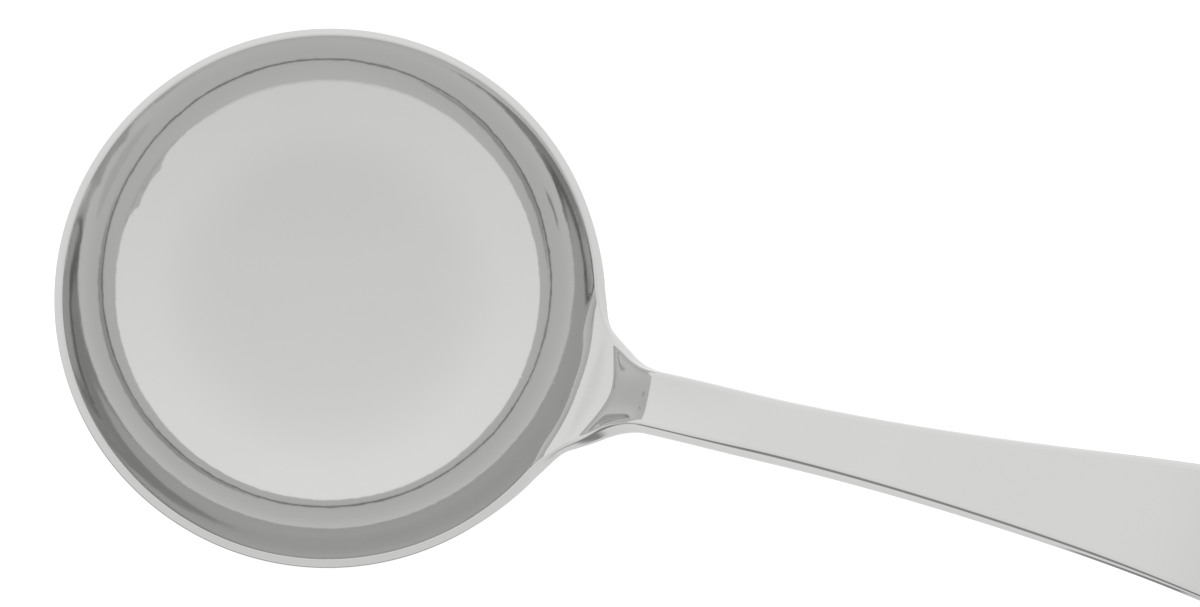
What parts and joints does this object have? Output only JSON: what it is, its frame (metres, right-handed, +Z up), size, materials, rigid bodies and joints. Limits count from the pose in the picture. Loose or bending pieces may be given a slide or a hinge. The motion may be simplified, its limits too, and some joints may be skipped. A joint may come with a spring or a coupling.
{
  "type": "ladle",
  "caption": "Polished steel soup ladle: a deep round bowl that flows through a grooved neck into a rising handle, flared towards its rounded end.",
  "frame": {"origin": "middle of the small polished flat under the bowl, with the rim level", "axes": "+Z up out of the bowl and square to the rim, +X from the bowl towards the handle's end, +Y across"},
  "size_m": [0.249, 0.0898, 0.0987],
  "materials": {
    "polished_steel": "mirror polished stainless steel with fine polishing marks"
  },
  "bodies": {
    "root": {"bowl": "polished_steel", "handle": "polished_steel"}
  },
  "joints": []
}
